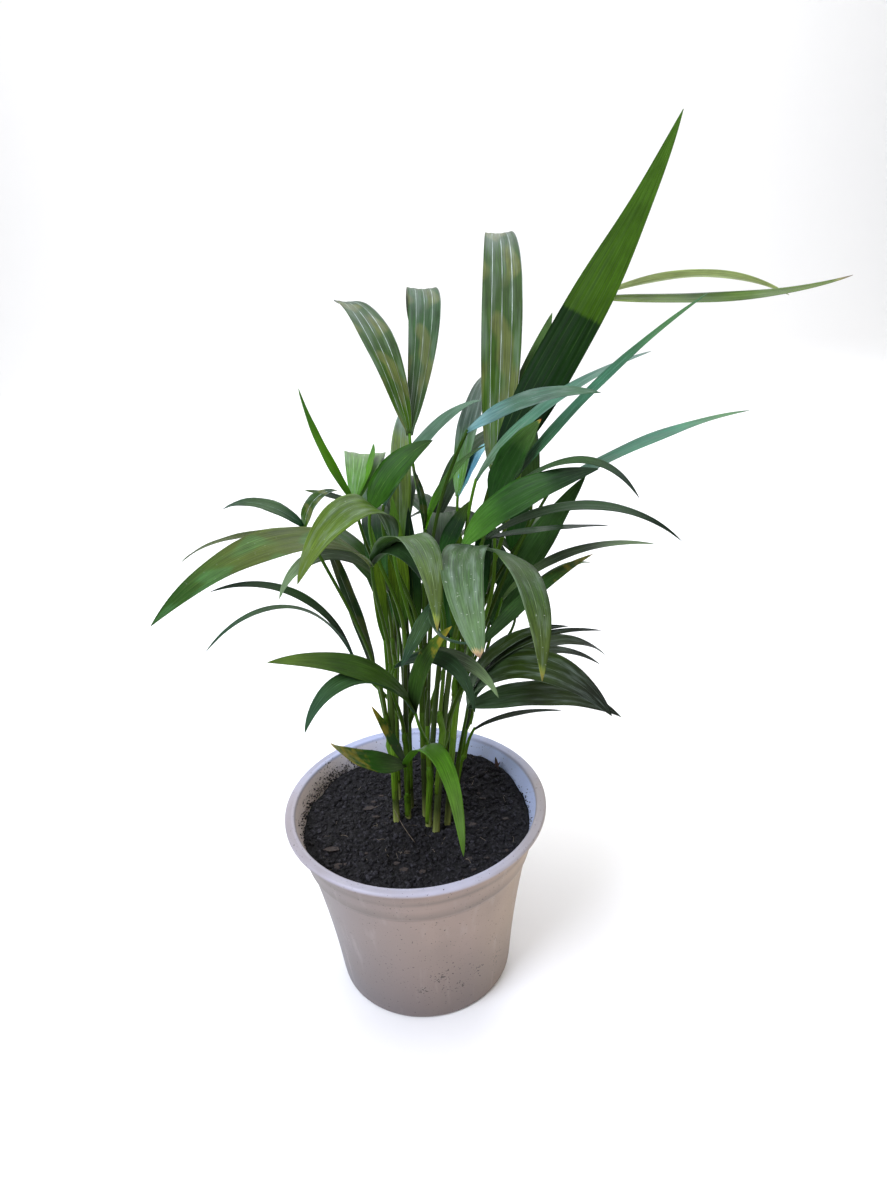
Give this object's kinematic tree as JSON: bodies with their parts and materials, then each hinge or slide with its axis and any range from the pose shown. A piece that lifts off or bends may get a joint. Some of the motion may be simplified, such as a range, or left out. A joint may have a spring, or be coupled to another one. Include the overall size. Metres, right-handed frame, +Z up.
{
  "type": "potted areca palm",
  "caption": "Young areca palm in a round nursery pot: a clump of slender canes with arching, split fronds above dark soil.",
  "frame": {"origin": "centre of the pot's flat underside, where the pot stands", "axes": "+Z up along the pot's axis; +X to the viewer's right and +Y away from the viewer of the picture"},
  "size_m": [0.4033, 0.402, 0.5565],
  "materials": {
    "pot": "warm grey-white moulded plastic with a soft sheen",
    "soil": "dark moist potting soil, crumbly, with fine fibres and bark",
    "cane": "smooth yellow-green living cane with pale sheaths",
    "frond": "satin green leaf with fine lengthwise ribs"
  },
  "bodies": {
    "root": {"pot": "pot", "soil": "soil", "cane_01": "cane", "cane_02": "cane", "cane_03": "cane", "cane_04": "cane", "cane_05": "cane", "cane_06": "cane", "cane_07": "cane", "cane_08": "cane", "cane_09": "cane", "cane_10": "cane", "cane_11": "cane", "cane_12": "cane", "cane_13": "cane", "frond_tall": "frond", "frond_striped": "frond", "frond_ribbon": "frond", "frond_olive": "frond", "frond_swift": "frond", "frond_far": "frond", "frond_sky": "frond", "frond_broad": "frond", "frond_shade": "frond", "frond_reach": "frond", "frond_thin": "frond", "frond_slip": "frond", "frond_drape": "frond", "frond_wing": "frond", "frond_hook": "frond", "frond_reed": "frond", "frond_spear": "frond", "frond_bright": "frond", "frond_grey": "frond", "frond_twin": "frond", "frond_strap": "frond", "frond_inner": "frond", "frond_knot": "frond", "frond_lowleft": "frond", "frond_foot": "frond", "frond_teal": "frond", "frond_curl": "frond", "frond_sweep": "frond", "frond_lean": "frond", "frond_arch": "frond", "frond_pinnate": "frond", "frond_wisp": "frond", "frond_rear_high": "frond", "frond_rear_left": "frond", "frond_rear_right": "frond", "frond_rear_fan": "frond", "frond_rear_low": "frond", "frond_rear_drop": "frond", "frond_rear_side": "frond", "frond_young_a": "frond", "frond_young_b": "frond", "frond_young_c": "frond", "frond_young_d": "frond", "frond_young_e": "frond"}
  },
  "joints": []
}
